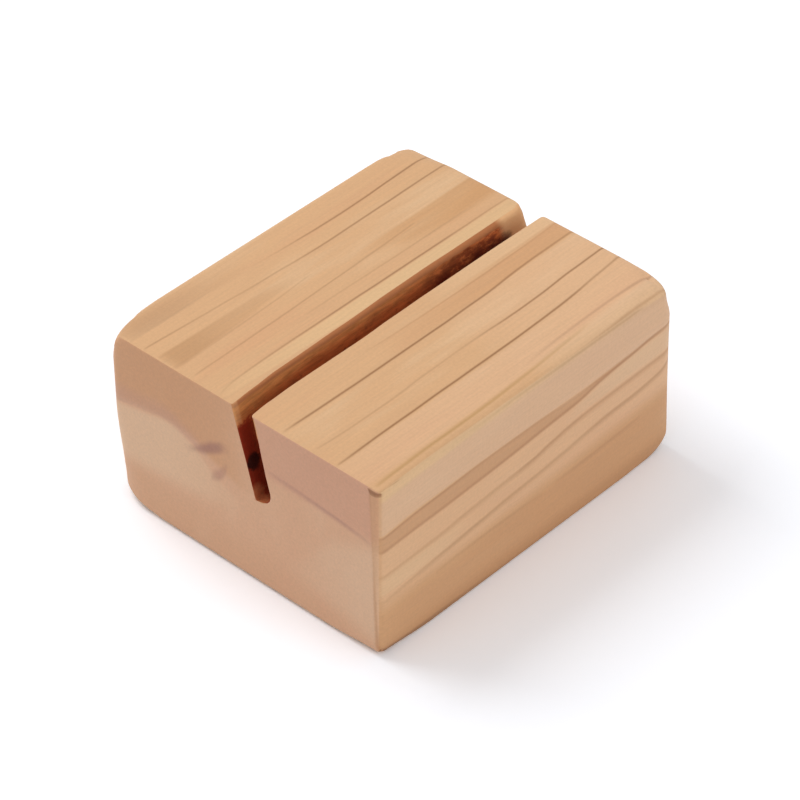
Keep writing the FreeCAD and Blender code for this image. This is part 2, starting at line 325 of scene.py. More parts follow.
def buildBlock():
    endCount = len(endSteps) - 1
    stations = ruler(2 * halfLength, counts["length"] + 2 * endCount, endSteps, endSteps) - halfLength
    sections = [section(float(y)) for y in stations]
    names = list(sections[0])
    spans = {name: len(sections[0][name]) - 1 for name in names}
    starts = dict(zip(names, np.cumsum([0] + list(spans.values()))))
    around = sum(spans.values())
    points = np.concatenate([
        atStation(np.concatenate([runs[name][:-1] for name in names]), y) for runs, y in zip(sections, stations)
    ])

    # the faces round the block, where 1 is sawn wood: the kerf, and the left lip, which kept the saw's brown
    kindOf = np.zeros(around, int)
    kindOf[starts["left"]:starts["right"] + spans["right"] - counts["lip"]] = 1
    place = np.arange(around)
    after = (place + 1) % around
    faces, kinds = [], []
    for row in range(len(stations) - 1):
        here, there = row * around, (row + 1) * around
        faces.append(np.stack([here + place, here + after, there + after, there + place], 1))
        kinds.append(kindOf)

    # the two ends, each in three areas: left of the kerf, right of it and below it
    for end, row in ((-1, 0), (1, len(stations) - 1)):
        y = stations[row]
        rim = {}
        for name in names:
            rim[name] = [row * around + (starts[name] + step) % around for step in range(spans[name] + 1)]
        # a row of points from each side to the kerf's floor, so that the areas meet
        rows = {}
        for side, outer, innerEnd, shares in (
            ("left", rim["upperLeft"][0], rim["floor"][0], topShares),
            ("right", rim["floor"][-1], rim["lowerRight"][0], 1 - topShares[::-1]),
        ):
            a, b = points[[outer, innerEnd]][:, [0, 2]]
            line = atStation(a + (b - a) * shares[1:-1, None], y)
            rows[side] = [outer] + list(range(len(points), len(points) + len(line))) + [innerEnd]
            points = np.concatenate([points, line])
        acrossKerf = rows["left"] + rim["floor"][1:] + rows["right"][1:]
        for rims in (
            (rim["topLeft"], rows["left"], rim["upperLeft"][::-1], rim["left"]),
            (rim["topRight"], rows["right"], rim["right"][::-1], rim["upperRight"]),
            (acrossKerf, rim["foot"][::-1], rim["lowerLeft"][::-1], rim["lowerRight"]),
        ):
            inner, quads = fillArea(points, rims, y)
            points = np.concatenate([points, inner])
            faces.append(quads if end < 0 else quads[:, ::-1])
            kinds.append(np.zeros(len(quads), int))

    middle = np.array([0, 0, height / 2])
    points = points - middle
    for run in (1, 0, 2):
        for edge in sandedForm["edges"]:
            if edge[run] == 0:
                roundEdge(points, edge)
    points = points + middle
    faces, kinds = np.concatenate(faces), np.concatenate(kinds)
    mesh = bpy.data.meshes.new("woodBlock")
    mesh.from_pydata((points / metre).tolist(), [], faces.tolist())
    mesh.polygons.foreach_set("material_index", kinds.astype(np.int32))
    mesh.polygons.foreach_set("use_smooth", np.ones(len(faces), bool))
    mesh.update()
    print("block mesh:", len(points), "points,", len(faces), "faces")
    return mesh


def weather(mesh):
    # shallow waves on the sanded faces and torn fibres on the sawn walls, always into the wood
    size = len(mesh.vertices)
    places, normals = np.zeros(size * 3, np.float32), np.zeros(size * 3, np.float32)
    mesh.vertices.foreach_get("co", places)
    mesh.vertex_normals.foreach_get("vector", normals)
    places, normals = places.reshape(-1, 3) * metre, normals.reshape(-1, 3)
    sawn, sanded = np.zeros(size), np.zeros(size)
    for face in mesh.polygons:
        touched = sawn if face.material_index else sanded
        touched[list(face.vertices)] = 1.0
    sawn = sawn * (1.0 - 0.5 * sanded)  # half where the two meet
    hand = wave(places, sandedForm["handWaveSize"], 1) * 0.5 + 0.5
    torn = sum(wave(places, length, seed) * share for seed, (length, share) in enumerate(kerf["tearSizes"], 2))
    depth = sandedForm["handWave"] * hand * (1 - sawn) + kerf["tear"] * (torn * 0.5 + 0.5) * sawn
    aboveFoot = ease(places[:, 2] / sandedForm["flatFoot"])
    places = places - normals * (depth * aboveFoot)[:, None]
    places = np.clip(places, (-halfWidth, -halfLength, 0), (halfWidth, halfLength, height))
    mesh.vertices.foreach_set("co", (places / metre).astype(np.float32).ravel())
    mesh.update()


block = bpy.data.objects.new("woodBlock", buildBlock())
bpy.context.scene.collection.objects.link(block)
weather(block.data)
print("block sanded")


def srgb(code):
    # an sRGB hex value as linear colour
    parts = [int(code[i:i + 2], 16) / 255 for i in (1, 3, 5)]
    return tuple(c / 12.92 if c <= 0.04045 else ((c + 0.055) / 1.055) ** 2.4 for c in parts) + (1.0,)


def add(tree, kind, inputs=None, **settings):
    # one node with its settings; an input is a plain value, an output, or a node for its first output
    made = tree.nodes.new(kind)
    for name, setting in settings.items():
        setattr(made, name, setting)
    for socket, source in (inputs or {}).items():
        if isinstance(source, bpy.types.Node):
            source = source.outputs[0]
        if isinstance(source, bpy.types.NodeSocket):
            tree.links.new(source, made.inputs[socket])
        else:
            made.inputs[socket].default_value = source
    return made


def startMaterial(name):
    material = bpy.data.materials.new(name)
    material.use_nodes = True
    material.node_tree.nodes.clear()
    return material, material.node_tree


def valueAlong(tree, place, keys):
    # a value that changes smoothly along the grain, from a few (place, value) pairs, or a plain number
    if isinstance(keys, (int, float)):
        return keys
    values = [value for _, value in keys]
    low, span = min(values), max(max(values) - min(values), 0.001)
    start, end = keys[0][0], keys[-1][0]
    share = add(tree, "ShaderNodeMapRange", {"Value": place, "From Min": start, "From Max": end})
    curve = add(tree, "ShaderNodeFloatCurve", {"Value": share})
    points = curve.mapping.curves[0].points
    points[0].location = (0, (values[0] - low) / span)
    points[1].location = (1, (values[-1] - low) / span)
    for at, value in keys[1:-1]:
        points.new((at - start) / (end - start), (value - low) / span)
    curve.mapping.update()
    return add(tree, "ShaderNodeMath", {0: curve, 1: span, 2: low}, operation="MULTIPLY_ADD")


def placeOnBlock(tree):
    # the place on the block in millimetres
    place = add(tree, "ShaderNodeTexCoord").outputs["Object"]
    return add(tree, "ShaderNodeVectorMath", {0: place, "Scale": metre}, operation="SCALE")


def blotches(tree, place, size, detail, roughness=0.5):
    # soft unevenness whose blotches measure about size, in millimetres along X, Y and Z
    scale = tuple(1 / length for length in size)
    place = add(tree, "ShaderNodeVectorMath", {0: place, 1: scale}, operation="MULTIPLY")
    inputs = {"Vector": place, "Scale": 1.0, "Detail": detail, "Roughness": roughness}
    return add(tree, "ShaderNodeTexNoise", inputs)


def within(tree, strength, *limits):
    # strength where all limits are met, and nothing where one isn't; a limit is a value, where it starts
    # to be met and where it fully is, smooth between them, and the start may be the larger
    for value, start, full in limits:
        inputs = {"Value": value, "From Min": start, "From Max": full, "To Max": strength}
        strength = add(tree, "ShaderNodeMapRange", inputs, interpolation_type="SMOOTHSTEP")
    return strength


def paint(tree, colour, tone, strength, *limits):
    # lays a tone over the colour, as strongly as strength says, where all limits are met
    share = within(tree, strength, *limits)
    return add(tree, "ShaderNodeMix", {0: share, 6: colour, 7: srgb(tone)}, data_type="RGBA").outputs[2]


def shade(tree, colour, value, span, light):
    # makes the colour darker and lighter: the value's span becomes the range of light
    inputs = {"Value": value, "From Min": span[0], "From Max": span[1], "To Min": light[0], "To Max": light[1]}
    factor = add(tree, "ShaderNodeMapRange", inputs)
    return add(tree, "ShaderNodeVectorMath", {0: colour, "Scale": factor}, operation="SCALE")


def drawFigure(tree, colour, across, along, face, figure):
    # one mark of the grain: it starts at its line, is as wide as its width, and is as strong as its fade
    line = valueAlong(tree, along, figure["line"])
    away = add(tree, "ShaderNodeMath", {0: across, 1: line}, operation="SUBTRACT")
    width = valueAlong(tree, along, figure["width"])
    rest = add(tree, "ShaderNodeMath", {0: width, 1: away}, operation="SUBTRACT")
    fade = valueAlong(tree, along, figure["fade"])
    strength = add(tree, "ShaderNodeMath", {0: fade, 1: face}, operation="MULTIPLY")
    start, end = [soft / 2 for soft in figure.get("soft", (0.55, 0.55))]
    return paint(tree, colour, figure["tone"], strength, (away, -start, start), (rest, -end, end))


def finishWood(tree, wood, colour, roughness, relief):
    # the wood's surface: its colour and roughness, with a relief that is bumpHeight high
    inputs = {"Height": relief, "Distance": wood["bumpHeight"] / metre, "Strength": wood["bumpStrength"]}
    bump = add(tree, "ShaderNodeBump", inputs)
    inputs = {"Base Color": colour, "Roughness": roughness, "Normal": bump}
    inputs |= {"IOR": wood["ior"], "Specular IOR Level": wood["gloss"]}
    shader = add(tree, "ShaderNodeBsdfPrincipled", inputs)
    add(tree, "ShaderNodeOutputMaterial", {"Surface": shader})


commonSpan = (0.3, 0.7)  # blotches stay mostly between these two values

# Sanded softwood, such as pine or cypress, without a finish: pale yellowish brown with a soft, dry sheen.
# Thin dark lines of latewood run along the top, wider pink and brown bands along the side, and the
# end grain is blotched and has a knot. Lengths in millimetres; on the top a line is X at a given Y.
latewood, warmLatewood, dimBand = "#9C6E46", "#B27C50", "#BC9069"
softwood = {
    "colour": "#DAAC7F",
    "warm": "#D9A57A",
    "pale": "#E0B88E",
    "patch": (9.0, 60.0, 14.0),  # size of the warmer and the paler patches
    "warmFrom": (0.5, 0.85),  # values of the blotches at which they start and are full
    "paleFrom": (0.5, 0.25),
    "sway": (30.0, 26.0, 30.0),  # over this length the grain wanders
    "swayBy": (0.7, 0, 0.7),
    "fibre": (0.42, 14.0, 0.42),  # fibres are finer; streaks as wide as this show at arm's length
    "fibreSpan": (0.25, 0.75),
    "fibreLight": (0.95, 1.045),
    "speck": (0.6667, 0.6667, 0.6667),  # pores, and what the sandpaper left
    "speckLight": (0.965, 1.035),
    "roughness": (0.52, 0.68),
    "bumpHeight": 0.035,
    "bumpStrength": 0.6,
    "ior": 1.5,
    "gloss": 0.3,  # specular level; sanded wood without a finish has little shine
    "pith": (-60.0, -60.0),  # the tree's middle, outside the block, in X and Z
    "rings": (
        62, 68, 73.5, 80, 86, 91.5, 97.5, 103.5, 109.6, 111.1, 114.5, 118.3, 124.9, 127.5, 132.6, 135.4, 141.3,
    ),
    "ringLine": "#B98A60",
    "ringStrength": 0.6,
    "ringWidth": (1.5, 0.4),  # a ring darkens slowly, then ends sharply
}
# Where the figure of each face starts and where it is full: parts of the face's own direction, places in
# millimetres, and for the last few how far one of the other faces has faded out.
faceLimits = {
    "top": (-0.12, 0.12), "right": (0.6, 0.75), "front": (-0.6, -0.75), "rightFrom": (20, 30),
    "notFront": (-0.75, -0.4), "hidden": (0.9, 0.1), "inView": (0.5, 0.2),
    "nearEdge": (0.97, 0.85), "nearFrom": (-40, -44), "belowTop": (0.6, 0.3),
}
topFigures = (
    # wide bands first, then the lines over them
    {
        "line": 12.0, "width": 24, "soft": (1.0, 4.0), "fade": ((0, 0), (20, 0.35), (47, 0.45)),
        "tone": "#E9BE97",
    },
    {
        "line": ((15, -18.3), (47, -19)), "width": ((15, 4), (30, 7.5), (47, 8)), "soft": (0.8, 3.0),
        "fade": ((8, 0), (20, 0.35), (35, 0.55), (47, 0.6)), "tone": "#C8925E",
    },
    {
        "line": ((-47, -37.6), (-8, -36.5)), "width": ((-47, 5.6), (-8, 4.8)), "soft": (4.0, 1.0),
        "fade": ((-47, 0), (-45, 0.4), (-38, 0.6), (-25, 0.35), (-10, 0)), "tone": dimBand,
    },
    {
        "line": ((-47, -24.2), (-30, -23.9), (-14, -23.5), (-6, -21)),
        "width": ((-47, 5.9), (-30, 4.6), (-14, 2.8), (-6, 1)), "soft": (0.8, 1.2),
        "fade": ((-47, 0), (-45.8, 0.4), (-43, 0.62), (-30, 0.4), (-15, 0.25), (-6, 0)), "tone": "#BA8B5F",
    },
    {
        "line": -7.0, "width": ((-47, 3.0), (47, 4.2)), "soft": (0.6, 0.6),
        "fade": ((-47, 0), (-35, 0.35), (0, 0.6), (47, 0.5)), "tone": "#E4BF8F",
    },
    {"line": 2.4, "width": 3.6, "soft": (0.5, 0.8), "fade": ((5, 0), (18, 0.4), (47, 0.65)), "tone": "#E6BE93"},
    {
        "line": ((-10, 7.0), (27, 7.0), (47, 6.4)), "width": ((-10, 5.0), (47, 4.7)), "soft": (0.7, 0.6),
        "fade": ((-14, 0), (0, 0.25), (25, 0.42), (47, 0.3)), "tone": "#CD9465",
    },
    {
        "line": ((-47, 28.2), (22, 27.6), (47, 26)), "width": 8.5, "soft": (0.8, 2.0),
        "fade": ((-47, 0.3), (0, 0.45), (20, 0.2), (47, 0.1)), "tone": "#E5BA95",
    },
    {
        "line": ((5, 36.0), (47, 34.0)), "width": 8, "soft": (2.0, 1.0), "fade": ((2, 0), (20, 0.4), (47, 0.5)),
        "tone": "#E4C19C",
    },
    {
        "line": ((0, 39.4), (20, 39.1), (46, 37.8)), "width": 0.5, "soft": (0.8, 0.8),
        "fade": ((0, 0), (10, 0.3), (35, 0.5), (46, 0.45)), "tone": "#B08058",
    },
    {
        "line": ((-12, -32.1), (4, -31.2), (17, -31.0), (30, -31.4), (47, -32.1)), "width": 0.4,
        "fade": ((-12, 0), (0, 0.35), (10, 0.8), (40, 0.95), (47, 0.6)), "tone": latewood,
    },
    {
        "line": ((-47, -28.4), (-27, -27.4), (-8, -26.4), (3, -26), (20, -26.2), (47, -26.6)), "width": 0.4,
        "fade": ((-47, 0), (-44, 0.5), (-25, 0.35), (-8, 0.4), (5, 0.75), (40, 0.85), (47, 0.55)),
        "tone": latewood,
    },
    {
        "line": ((-36, -19.0), (-20, -19.5), (-4, -20.4)), "width": 0.3,
        "fade": ((-37, 0), (-25, 0.3), (-10, 0.3), (-4, 0)), "tone": latewood,
    },
    {
        "line": ((-46, -14.3), (-13, -15.1), (7, -15.8), (24, -16.6)), "width": 0.35,
        "fade": ((-46, 0), (-42, 0.4), (-10, 0.45), (15, 0.4), (25, 0)), "tone": latewood,
    },
    {
        "line": ((-15, -11.5), (36, -11.4)), "width": 0.35, "fade": ((-15, 0), (-5, 0.25), (25, 0.32), (36, 0)),
        "tone": latewood,
    },
    {
        "line": ((-47, -5.0), (-40, -7.1), (-30, -7.5), (10, -7.7), (47, -7.5)), "width": 0.4,
        "fade": ((-47, 0), (-40, 0.35), (-28, 0.55), (-6, 0.85), (20, 0.9), (30, 0.6), (47, 0.35)),
        "tone": latewood,
    },
    {
        "line": ((-15, 6.4), (2, 7.0), (27, 6.9), (47, 6.1)), "width": 0.35,
        "fade": ((-16, 0), (-8, 0.3), (15, 0.45), (47, 0.35)), "tone": warmLatewood,
    },
    {
        "line": ((-47, 12.3), (-13, 12.3), (14, 12.0), (27, 11.3), (47, 10.9)), "width": 0.5,
        "fade": ((-46.8, 0), (-44.5, 0.45), (-38, 0.9), (10, 0.95), (27, 0.75), (47, 0.5)), "tone": latewood,
    },
    {
        "line": ((-46, 20.9), (-28, 21.4), (-13, 20.9), (2, 20.7), (17, 20.9), (34, 20.3), (47, 19.7)),
        "width": 0.42,
        "fade": ((-46, 0), (-38, 0.35), (-18, 0.28), (-2, 0.25), (8, 0.55), (17, 0.9), (47, 0.95)),
        "tone": latewood,
    },
    {
        "line": ((-47, 27.5), (-22, 27.1), (2, 26.9), (22, 26.5), (37, 25.3), (47, 24.2)), "width": 0.5,
        "fade": ((-46.8, 0), (-44, 0.6), (-36, 0.95), (0, 1.0), (27, 0.9), (37, 0.55), (47, 0.6)),
        "tone": latewood,
    },
    {
        "line": ((2, 34.7), (17, 33.4), (32, 33.1), (46, 33.4)), "width": 0.5, "soft": (0.9, 0.9),
        "fade": ((2, 0), (15, 0.4), (35, 0.55), (46, 0.6)), "tone": "#A97C60",
    },
    {
        "line": ((-47, 37.9), (-35, 37.3), (-13, 37.0), (4, 36.2), (23, 35.0)), "width": 0.6,
        "soft": (1.4, 0.8), "fade": ((-46.5, 0), (-43, 0.65), (-25, 0.75), (0, 0.6), (15, 0.4), (24, 0)),
        "tone": "#B2874C",
    },
)
# On the side a line is Z at a given Y.
sideFigures = (
    {
        "line": ((-47, 13), (47, 17)), "width": 20, "soft": (5.0, 3.0), "fade": ((-47, 0.3), (47, 0.4)),
        "tone": "#EEC4A2",
    },
    # the two bands that follow make the side darker towards the foot
    {
        "line": -2.0, "width": ((-47, 15), (0, 17), (47, 20)), "soft": (1.0, 7.0),
        "fade": ((-47, 0.6), (0, 0.75), (47, 0.75)), "tone": "#CE9B71",
    },
    {"line": -2.0, "width": ((-47, 4.5), (47, 6)), "soft": (1.0, 4.0), "fade": 0.5, "tone": "#BC8A60"},
    {
        "line": ((-47, 33.2), (-27, 34.6), (12, 34.8), (27, 34.8), (47, 37.0)), "width": 12, "soft": (0.8, 4.0),
        "fade": 0.75, "tone": "#DFB897",
    },
    {
        "line": ((-47, 42.5), (-10, 44.2), (47, 45.2)), "width": 6, "soft": (1.6, 1.0),
        "fade": ((-47, 0.55), (0, 0.5), (47, 0.4)), "tone": "#E6C08E",
    },
    {
        "line": ((-20, 44.6), (10, 44.9), (46, 45.0)), "width": 0.3, "soft": (0.6, 0.6),
        "fade": ((-20, 0), (0, 0.3), (40, 0.45), (47, 0.2)), "tone": "#A97C56",
    },
    {
        "line": ((-47, 28.6), (-27, 29.3), (-9, 30.1), (5, 31.1), (15, 31.8), (22, 33.0), (38, 34.8), (47, 35.4)),
        "width": ((-47, 4.2), (-27, 4.9), (-9, 4.5), (12, 2.6), (27, 1.2), (40, 0.6), (47, 0.5)),
        "soft": (1.0, 1.0), "fade": ((-47, 0.66), (0, 0.7), (30, 0.7), (45, 0.6), (47, 0.3)), "tone": "#C5946C",
    },
    {
        "line": ((-47, 28.7), (-27, 29.4), (-9, 30.2), (5, 31.2), (15, 31.9), (22, 33.1), (38, 34.9)),
        "width": 0.6, "soft": (1.0, 1.2), "fade": ((-47, 0.4), (-20, 0.55), (10, 0.6), (30, 0.6), (44, 0.2)),
        "tone": "#A97450",
    },
    {
        "line": ((-47, 32.3), (-27, 33.7), (-12, 34.2), (12, 34.0), (27, 33.9), (40, 35.3), (47, 35.6)),
        "width": 0.5, "soft": (1.0, 0.6), "fade": ((-47, 0.5), (-35, 0.65), (0, 0.35), (20, 0.4), (44, 0.6)),
        "tone": "#AE7B57",
    },
    {
        "line": ((12, 28.0), (22, 28.6), (47, 29.0)), "width": ((12, 2), (22, 4), (47, 6)), "soft": (1.2, 2.0),
        "fade": ((10, 0), (24, 0.4), (47, 0.5)), "tone": "#E0BF9B",
    },
    {
        "line": ((-47, 21.6), (-34, 21.9), (-17, 23.4), (0, 24.5), (7, 25.7), (17, 26.9), (29, 27.2), (47, 27.8)),
        "width": 0.8, "soft": (2.6, 1.0),
        "fade": ((-47, 0.35), (-34, 0.45), (-10, 0.5), (4, 0.8), (20, 0.7), (47, 0.65)), "tone": "#AF7B55",
    },
    {
        "line": ((-47, 17.0), (-30, 17.6), (-22, 19.5), (-20, 20)), "width": ((-47, 4.5), (-30, 4.2), (-20, 1)),
        "soft": (1.0, 1.4), "fade": ((-47, 0.45), (-32, 0.4), (-20, 0)), "tone": "#E4C097",
    },
    {
        "line": ((-47, 14.5), (-27, 16.8), (-7, 18.8), (9, 20.0), (22, 21.5), (37, 22.3), (47, 24.8)),
        "width": 0.8, "soft": (2.6, 1.0),
        "fade": ((-47, 0.25), (-33, 0.45), (-22, 0.65), (0, 0.6), (15, 0.55), (25, 0.75), (47, 0.7)),
        "tone": "#AE7C56",
    },
    {
        "line": ((-30, 12.6), (-10, 13.4), (5, 13.0)), "width": 0.5, "soft": (2.0, 1.0),
        "fade": ((-30, 0), (-18, 0.45), (-5, 0.4), (5, 0)), "tone": "#AE7C56",
    },
    {
        "line": ((8, 13.6), (20, 13.8), (36, 14.6)), "width": 0.5, "soft": (2.0, 1.0),
        "fade": ((8, 0), (18, 0.45), (30, 0.45), (37, 0)), "tone": "#AE7C56",
    },
)
footShade = {
    "line": -1.0, "width": ((-47, 2.6), (-20, 2.2), (10, 1.8)), "soft": (0.5, 1.3),
    "fade": ((-47, 0.75), (-30, 0.6), (0, 0.35), (47, 0.25)), "tone": "#80583A",
}
# On the end grain a line is Z at a given X.
endFigures = (
    {"line": -2.0, "width": 50, "fade": 0.6, "tone": "#E2B297"},
    # this band makes the end darker towards the foot
    {
        "line": -2.0, "width": ((-40, 15), (0, 12), (40, 9)), "soft": (1.0, 7.0),
        "fade": ((-40, 0.4), (0, 0.2), (40, 0.1)), "tone": "#D4A47E",
    },
    {
        "line": ((-40, 27.0), (-28, 30.0), (-18, 30.5), (-8, 27), (0, 24)), "width": 24, "soft": (3.0, 1.0),
        "fade": ((-40, 0.7), (-10, 0.65), (2, 0.2), (6, 0)), "tone": "#CF996F",
    },
    {
        "line": ((5, 31.0), (20, 32.0), (40, 31.2)), "width": 20, "soft": (3.0, 1.0),
        "fade": ((2, 0), (8, 0.6), (40, 0.65)), "tone": "#D49F84",
    },
    {
        "line": ((-40, 26.6), (-28, 29.6), (-22, 30.4), (-17, 29.3), (-11, 27)),
        "width": ((-40, 5), (-25, 3.5), (-11, 3)), "soft": (0.9, 4.0),
        "fade": ((-40, 0.42), (-30, 0.3), (-20, 0.35), (-10, 0)), "tone": "#C5998A",
    },
    {
        "line": ((-40, 12.5), (-20, 14), (-2, 16.5)),
        "width": ((-40, 14), (-28, 15.6), (-22, 16.4), (-16, 14.4), (-8, 8), (-2, 4)), "soft": (6.0, 2.2),
        "fade": ((-40, 0.7), (-22, 0.75), (-8, 0.45), (0, 0)), "tone": "#E7C2A0",
    },
    {
        "line": ((12, 10), (40, 4)), "width": ((14, 1), (20, 8), (26, 17), (33, 22), (40, 26)),
        "soft": (7.0, 6.0), "fade": ((12, 0), (26, 0.4), (40, 0.6)), "tone": "#E6C2A2",
    },
    {
        "line": ((-15.5, 26.0), (-11, 27.7), (-8, 29.2), (-4, 31.6)),
        "width": ((-15.5, 1.0), (-11, 2.4), (-8, 3.0), (-4, 2)), "soft": (2.0, 2.2),
        "fade": ((-17, 0), (-13, 0.45), (-9.5, 0.75), (-7, 0.7), (-4.6, 0.3), (-2.6, 0)), "tone": "#A37468",
    },
    {
        "line": ((-8.4, 21.6), (-5.6, 23.4), (-3.8, 26.4)), "width": ((-9, 1.6), (-6, 3.0), (-3.6, 2.4)),
        "soft": (1.8, 2.2), "fade": ((-9, 0), (-6.4, 0.55), (-5.4, 0.5), (-3.6, 0)), "tone": "#B38272",
    },
    {
        "line": ((8, 33.2), (20, 32.3), (33, 31.0), (39, 29.8)), "width": 0.9, "soft": (1.8, 1.0),
        "fade": ((8, 0), (12, 0.35), (20, 0.5), (29, 0.6), (34, 0.4), (38, 0.1)), "tone": "#AD7C72",
    },
)
# On the near upright edge a line is X at a given Z: the facet there shows the side's colour, and a splinter has
# come off just below the top, with painted shadow in its hollow.
edgeFiguresAndSplinterShadow = (
    {
        "line": ((0, 39.2), (20, 38.4), (44, 37.4)), "width": 4, "soft": (0.6, 1.0),
        "fade": ((0, 0.2), (25, 0.4), (46, 0.6)), "tone": "#D3A277",
    },
    {
        "line": ((0, 38.9), (20, 38.1), (44, 37.1)), "width": 0.6, "soft": (0.7, 0.5),
        "fade": ((0, 0.5), (15, 0.35), (30, 0.15), (44, 0.25)), "tone": "#B1764A",
    },
    # painted shadow: a dark wedge in the splinter's hollow, under the overhang of the top
    {
        "line": ((40, 39.6), (44, 37.5), (46, 36.6)), "width": 5, "soft": (0.5, 0.5),
        "fade": ((44.0, 0), (44.7, 0.7), (45.3, 0.7), (45.6, 0)), "tone": "#8A5530",
    },
)


def makeSoftwood():
    material, tree = startMaterial("sandedSoftwood")
    place = placeOnBlock(tree)
    # the grain wanders a little, so that no line is ruled
    sway = blotches(tree, place, softwood["sway"], 2.0).outputs["Color"]
    sway = add(tree, "ShaderNodeVectorMath", {0: sway, 1: (0.5, 0.5, 0.5)}, operation="SUBTRACT")
    inputs = {0: sway, 1: softwood["swayBy"], 2: place}
    grain = add(tree, "ShaderNodeVectorMath", inputs, operation="MULTIPLY_ADD")
    x, _, z = add(tree, "ShaderNodeSeparateXYZ", {0: grain}).outputs
    _, y, levelZ = add(tree, "ShaderNodeSeparateXYZ", {0: place}).outputs

    # which face this is, from the way it looks
    normal = add(tree, "ShaderNodeNewGeometry").outputs["Normal"]
    lookX, lookY, lookZ = add(tree, "ShaderNodeSeparateXYZ", {0: normal}).outputs
    aside = [add(tree, "ShaderNodeMath", {0: look}, operation="ABSOLUTE") for look in (lookX, lookY)]
    aside = add(tree, "ShaderNodeMath", {0: aside[0], 1: aside[1]}, operation="MAXIMUM")
    upMore = add(tree, "ShaderNodeMath", {0: lookZ, 1: aside}, operation="SUBTRACT")
    isTop = within(tree, 1.0, (upMore, *faceLimits["top"]))
    isRight = within(tree, 1.0, (lookX, *faceLimits["right"]), (x, *faceLimits["rightFrom"]))
    isFront = within(tree, 1.0, (lookY, *faceLimits["front"]))
    inView = add(tree, "ShaderNodeMath", {0: isRight, 1: isFront}, operation="ADD")
    inView = add(tree, "ShaderNodeMath", {0: isTop, 1: inView}, operation="ADD")
    isHidden = within(tree, 1.0, (inView, *faceLimits["hidden"]))

    # broad patches of warmer and paler wood, stretched along the grain, and the marks over them
    patches = blotches(tree, place, softwood["patch"], 3.0, 0.55)
    colour = paint(tree, srgb(softwood["colour"]), softwood["warm"], 1.0, (patches, *softwood["warmFrom"]))
    colour = paint(tree, colour, softwood["pale"], 1.0, (patches, *softwood["paleFrom"]))
    nearEdge = (
        (y, *faceLimits["nearFrom"]), (isTop, *faceLimits["belowTop"]), (lookX, *faceLimits["nearEdge"]),
    )
    foot = ((isHidden, *faceLimits["inView"]), (lookY, *faceLimits["notFront"]))
    for across, along, face, figures in (
        (x, y, isTop, topFigures),
        (z, y, isRight, sideFigures),
        (z, x, isFront, endFigures),
        (x, levelZ, within(tree, 1.0, *nearEdge), edgeFiguresAndSplinterShadow),
        (levelZ, y, within(tree, 1.0, *foot), (footShade,)),
    ):
        for figure in figures:
            colour = drawFigure(tree, colour, across, along, face, figure)

    # the faces out of view show plain growth rings about the pith
    pithX, pithZ = softwood["pith"]
    radial = add(tree, "ShaderNodeVectorMath", {0: grain, 1: (-pithX, 0, -pithZ)}, operation="ADD")
    radial = add(tree, "ShaderNodeVectorMath", {0: radial, 1: (1, 0, 1)}, operation="MULTIPLY")
    radius = add(tree, "ShaderNodeVectorMath", {0: radial}, operation="LENGTH").outputs["Value"]
    strength = add(tree, "ShaderNodeMath", {0: isHidden, 1: softwood["ringStrength"]}, operation="MULTIPLY")
    inner, outer = softwood["ringWidth"]
    for ring in softwood["rings"]:
        limits = ((radius, ring - inner, ring), (radius, ring + outer, ring))
        colour = paint(tree, colour, softwood["ringLine"], strength, *limits)

    # fine streaks of fibre along the length, and pores where the fibres end
    fibre = blotches(tree, place, softwood["fibre"], 2.5, 0.6)
    colour = shade(tree, colour, fibre, softwood["fibreSpan"], softwood["fibreLight"])
    specks = blotches(tree, place, softwood["speck"], 3.0)
    colour = shade(tree, colour, specks, commonSpan, softwood["speckLight"])

    smooth, coarse = softwood["roughness"]
    inputs = {"Value": fibre, "From Min": commonSpan[0], "From Max": commonSpan[1]}
    inputs |= {"To Min": smooth, "To Max": coarse}
    rough = add(tree, "ShaderNodeMapRange", inputs)
    finishWood(tree, softwood, colour, rough, fibre)
    print("softwood:", len(tree.nodes), "nodes")
    return material
